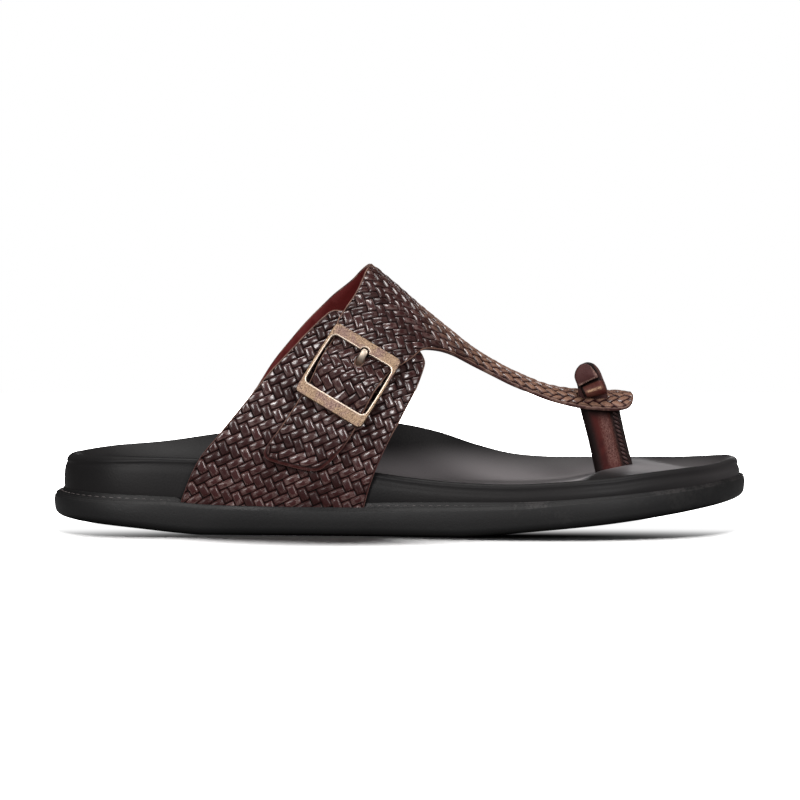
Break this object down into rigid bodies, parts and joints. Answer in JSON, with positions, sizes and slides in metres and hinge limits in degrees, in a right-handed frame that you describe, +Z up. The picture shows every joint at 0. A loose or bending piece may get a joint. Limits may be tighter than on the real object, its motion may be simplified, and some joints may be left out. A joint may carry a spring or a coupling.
{
  "type": "leather thong sandal",
  "caption": "Right leather thong sandal: woven T-strap upper fastened by a side buckle, toe post, contoured footbed and rimmed rubber outsole.",
  "frame": {"origin": "centre of the sandal's bounding box in plan, on the floor under the sole", "axes": "+X towards the toe, +Y towards the medial (big toe) side, +Z up"},
  "size_m": [0.2802, 0.1082, 0.107],
  "materials": {
    "outsole": "satin black rubber",
    "footbed": "smooth black leather cover",
    "lateral_quarter": "woven burnished dark brown leather, burgundy inside",
    "upper_main": "woven burnished dark brown leather, burgundy inside",
    "buckle_frame": "antique brass with bright edges",
    "buckle_prong": "antique brass",
    "toe_post": "burnished red-brown leather",
    "loop_roll": "burnished brown leather"
  },
  "bodies": {
    "root": {"outsole": "outsole", "footbed": "footbed", "lateral_quarter": "lateral_quarter", "upper_main": "upper_main", "buckle_frame": "buckle_frame", "buckle_prong": "buckle_prong", "toe_post": "toe_post", "loop_roll": "loop_roll"}
  },
  "joints": []
}
